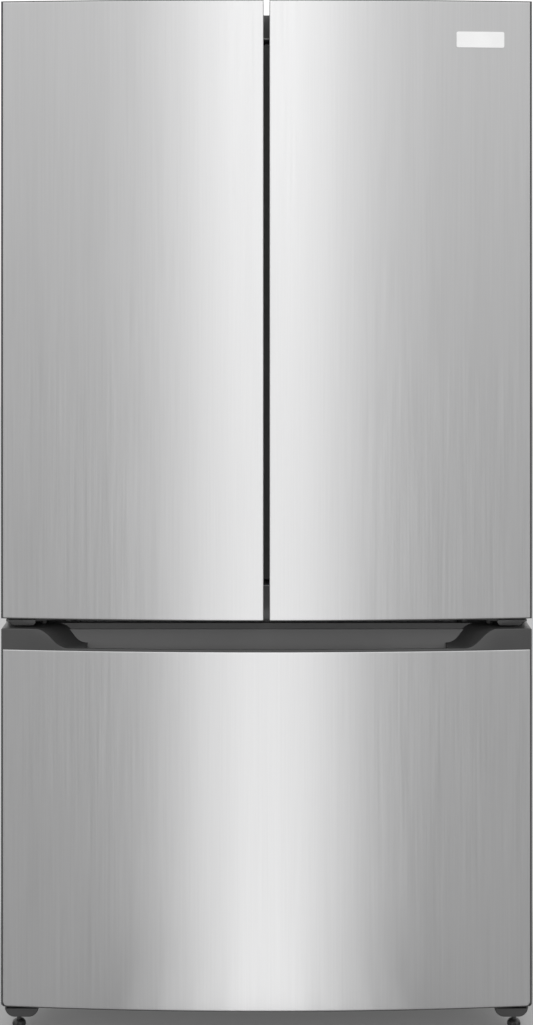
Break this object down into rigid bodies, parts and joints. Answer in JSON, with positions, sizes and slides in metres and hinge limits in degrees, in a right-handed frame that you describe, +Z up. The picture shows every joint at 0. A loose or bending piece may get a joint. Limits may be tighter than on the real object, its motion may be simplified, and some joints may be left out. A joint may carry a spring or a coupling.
{
  "type": "french door refrigerator",
  "caption": "Freestanding refrigerator with two bowed steel doors above a bottom freezer drawer, with scooped and recessed pulls and no projecting handles.",
  "frame": {"origin": "on the floor at the middle of the footprint", "axes": "+X to the viewer's right, +Y to the back (the doors face -Y), +Z up"},
  "size_m": [0.906, 0.73, 1.77],
  "materials": {
    "door_steel": "fine vertical brushed stainless steel, satin",
    "cabinet_grey": "fine textured grey enamel on sheet steel",
    "zinc_steel": "galvanised sheet steel",
    "dark_trim": "dark grey moulded plastic, fine grain",
    "hinge_steel": "dark grey enamelled steel",
    "foam": "polyurethane foam insulation",
    "liner_white": "white vacuum-formed liner, soft gloss",
    "gasket_grey": "soft grey magnetic gasket",
    "clear_plastic": "clear moulded plastic",
    "shelf_white": "white moulded plastic rim",
    "shelf_glass": "tempered glass",
    "lens": "translucent diffuser",
    "panel_black": "glossy black touch panel",
    "badge_white": "satin metal badge plate, blank",
    "slide_steel": "bright zinc-plated slide",
    "fin_aluminium": "bare fins and tube",
    "fan_black": "black moulded fan",
    "compressor_black": "gloss black enamelled can",
    "basket_plastic": "white translucent moulded basket",
    "foot_black": "black nylon",
    "roller_nylon": "light nylon",
    "back_board": "galvanised back sheet"
  },
  "bodies": {
    "cabinet": {"air_duct": "liner_white", "cabinet_back": "back_board", "cabinet_base": "zinc_steel", "cabinet_foam": "foam", "cabinet_wrapper": "cabinet_grey", "centre_rail": "cabinet_grey", "compressor": "compressor_black", "compressor_cover": "zinc_steel", "condenser": "fin_aluminium", "control_panel": "panel_black", "crisper_cover": "shelf_white", "evaporator": "fin_aluminium", "evaporator_cover": "liner_white", "freezer_liner": "liner_white", "fresh_food_liner": "liner_white", "front_legs": "dark_trim", "hinge_covers": "dark_trim", "hinge_screws": "hinge_steel", "left_lower_shelf": "shelf_white", "left_upper_shelf": "shelf_white", "light_lens": "lens", "middle_hinges": "hinge_steel", "right_lower_shelf": "shelf_white", "right_upper_shelf": "shelf_white", "shelf_glass": "shelf_glass", "shelf_tracks": "shelf_white", "slide_outer": "slide_steel", "top_hinges": "hinge_steel"},
    "left_door": {"left_door_skin": "door_steel", "left_door_trim": "dark_trim", "left_door_foam": "foam", "left_door_liner": "liner_white", "left_door_gasket": "gasket_grey", "left_door_bins": "clear_plastic"},
    "right_door": {"right_door_skin": "door_steel", "right_door_trim": "dark_trim", "right_door_foam": "foam", "right_door_liner": "liner_white", "right_door_gasket": "gasket_grey", "right_door_bins": "clear_plastic", "badge": "badge_white"},
    "flipper_bar": {"flipper_bar": "dark_trim"},
    "dairy_lid": {"dairy_lid": "clear_plastic"},
    "freezer_drawer": {"freezer_skin": "door_steel", "freezer_trim": "dark_trim", "freezer_handle": "dark_trim", "freezer_foam": "foam", "freezer_door_liner": "liner_white", "freezer_gasket": "gasket_grey", "slide_inner": "slide_steel", "lower_basket": "basket_plastic"},
    "upper_basket": {"upper_basket": "basket_plastic"},
    "slide_middle": {"slide_middle": "slide_steel"},
    "left_crisper": {"left_crisper": "clear_plastic"},
    "right_crisper": {"right_crisper": "clear_plastic"},
    "rear_rollers": {"rear_rollers": "roller_nylon"},
    "left_foot": {"left_foot": "foot_black"},
    "right_foot": {"right_foot": "foot_black"},
    "condenser_fan": {"condenser_fan": "fan_black"},
    "evaporator_fan": {"evaporator_fan": "fan_black"}
  },
  "joints": [
    {"name": "left_door_hinge", "type": "hinge", "parent": "cabinet", "child": "left_door", "pos_m": [-0.43, -0.31, 1.24], "axis": [0, 0, -1], "range_deg": [0, 125]},
    {"name": "right_door_hinge", "type": "hinge", "parent": "cabinet", "child": "right_door", "pos_m": [0.43, -0.31, 1.24], "axis": [0, 0, 1], "range_deg": [0, 125]},
    {"name": "flipper_bar_hinge", "type": "hinge", "parent": "left_door", "child": "flipper_bar", "pos_m": [-0.03, -0.262, 1.24], "axis": [0, 0, 1], "range_deg": [0, 90]},
    {"name": "dairy_lid_hinge", "type": "hinge", "parent": "left_door", "child": "dairy_lid", "pos_m": [-0.22, -0.173, 1.657], "axis": [1, 0, 0], "range_deg": [0, 80]},
    {"name": "freezer_drawer_slide", "type": "slide", "parent": "cabinet", "child": "freezer_drawer", "axis": [0, -1, 0], "range_m": [0, 0.44]},
    {"name": "slide_middle_slide", "type": "slide", "parent": "cabinet", "child": "slide_middle", "axis": [0, -1, 0], "range_m": [0, 0.22]},
    {"name": "upper_basket_slide", "type": "slide", "parent": "freezer_drawer", "child": "upper_basket", "axis": [0, 1, 0], "range_m": [0, 0.15]},
    {"name": "left_crisper_slide", "type": "slide", "parent": "cabinet", "child": "left_crisper", "axis": [0, -1, 0], "range_m": [0, 0.115]},
    {"name": "right_crisper_slide", "type": "slide", "parent": "cabinet", "child": "right_crisper", "axis": [0, -1, 0], "range_m": [0, 0.115]},
    {"name": "rear_rollers_spin", "type": "hinge", "parent": "cabinet", "child": "rear_rollers", "pos_m": [0, 0.3, 0.02], "axis": [1, 0, 0], "continuous": true},
    {"name": "left_foot_turn", "type": "hinge", "parent": "cabinet", "child": "left_foot", "pos_m": [-0.428, -0.29, 0.02], "axis": [0, 0, 1], "continuous": true},
    {"name": "right_foot_turn", "type": "hinge", "parent": "cabinet", "child": "right_foot", "pos_m": [0.428, -0.29, 0.02], "axis": [0, 0, 1], "continuous": true},
    {"name": "condenser_fan_spin", "type": "hinge", "parent": "cabinet", "child": "condenser_fan", "pos_m": [0.005, 0.257, 0.15], "axis": [1, 0, 0], "continuous": true},
    {"name": "evaporator_fan_spin", "type": "hinge", "parent": "cabinet", "child": "evaporator_fan", "pos_m": [0, 0.252, 0.565], "axis": [0, 1, 0], "continuous": true}
  ],
  "couplings": [
    {"joint": "slide_middle_slide", "follows": "freezer_drawer_slide", "ratio": 0.5}
  ]
}
